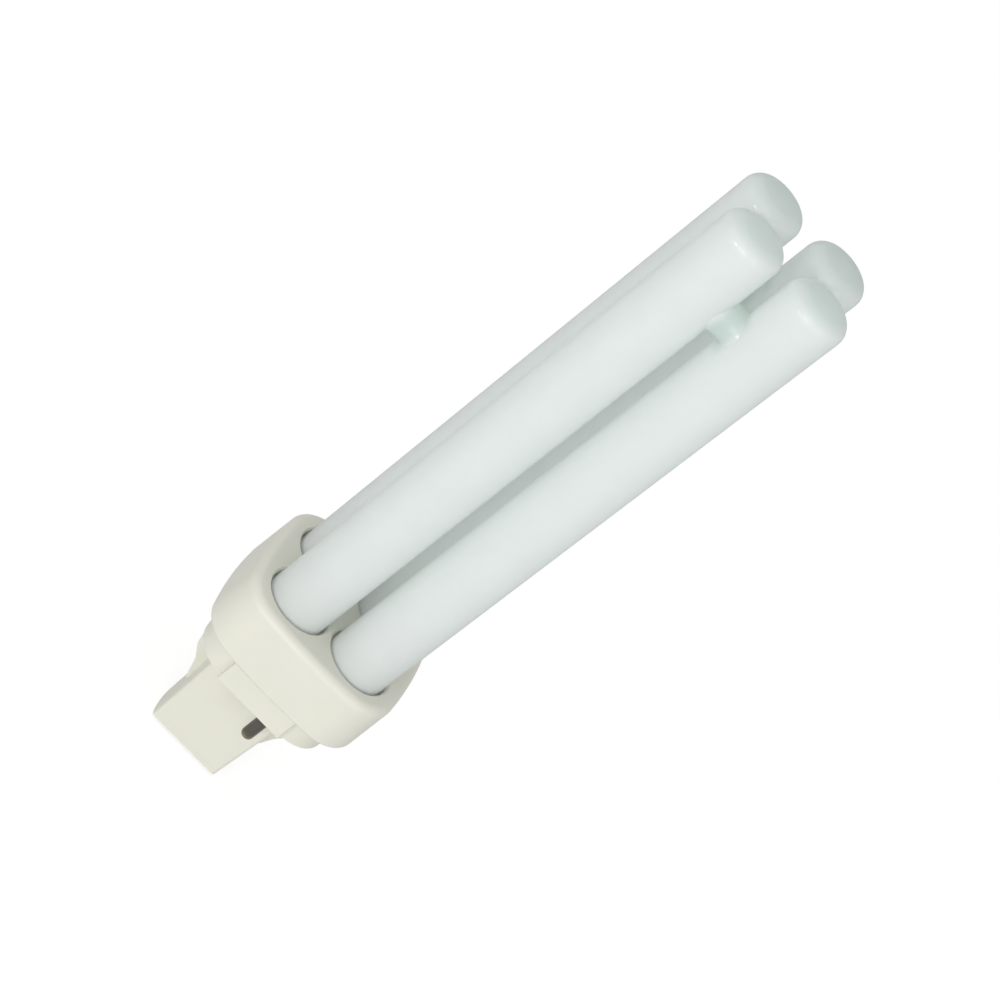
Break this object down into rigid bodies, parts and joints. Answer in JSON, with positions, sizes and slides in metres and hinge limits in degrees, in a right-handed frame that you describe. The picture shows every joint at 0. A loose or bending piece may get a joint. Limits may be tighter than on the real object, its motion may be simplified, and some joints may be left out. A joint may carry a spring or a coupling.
{
  "type": "pin base compact fluorescent lamp",
  "caption": "Double twin tube compact fluorescent lamp on a moulded ivory two-pin base with the starter in its keyed post.",
  "frame": {"origin": "on the lamp's axis in the seating face, the underside of the pedestal that rests in the lampholder", "axes": "+Z along the lamp's axis towards the tube tips; +X across the post's wide face, along the two top bridges of the tube; +Y across the post's narrow side; pin 1 stands on the -Y side"},
  "size_m": [0.0346, 0.0346, 0.1498],
  "materials": {
    "coated_glass": "opaque white phosphor coating behind clear glass",
    "base_moulding": "ivory, satin",
    "cement": "matt",
    "pin_brass": "dull",
    "lead_wire": "drawn wire",
    "sleeve_brass": "plain",
    "starter_glass": "clear",
    "capacitor_case": "dipped"
  },
  "bodies": {
    "root": {"discharge_tube": "coated_glass", "base_housing": "base_moulding", "base_cap": "base_moulding", "tube_cement": "cement", "contact_pin_1": "pin_brass", "contact_pin_2": "pin_brass", "pin_lead_1": "lead_wire", "pin_lead_2": "lead_wire", "starter_lead_1": "lead_wire", "starter_lead_2": "lead_wire", "crimp_sleeve_1": "sleeve_brass", "crimp_sleeve_2": "sleeve_brass", "starter_bottle": "starter_glass", "starter_capacitor": "capacitor_case"}
  },
  "joints": []
}
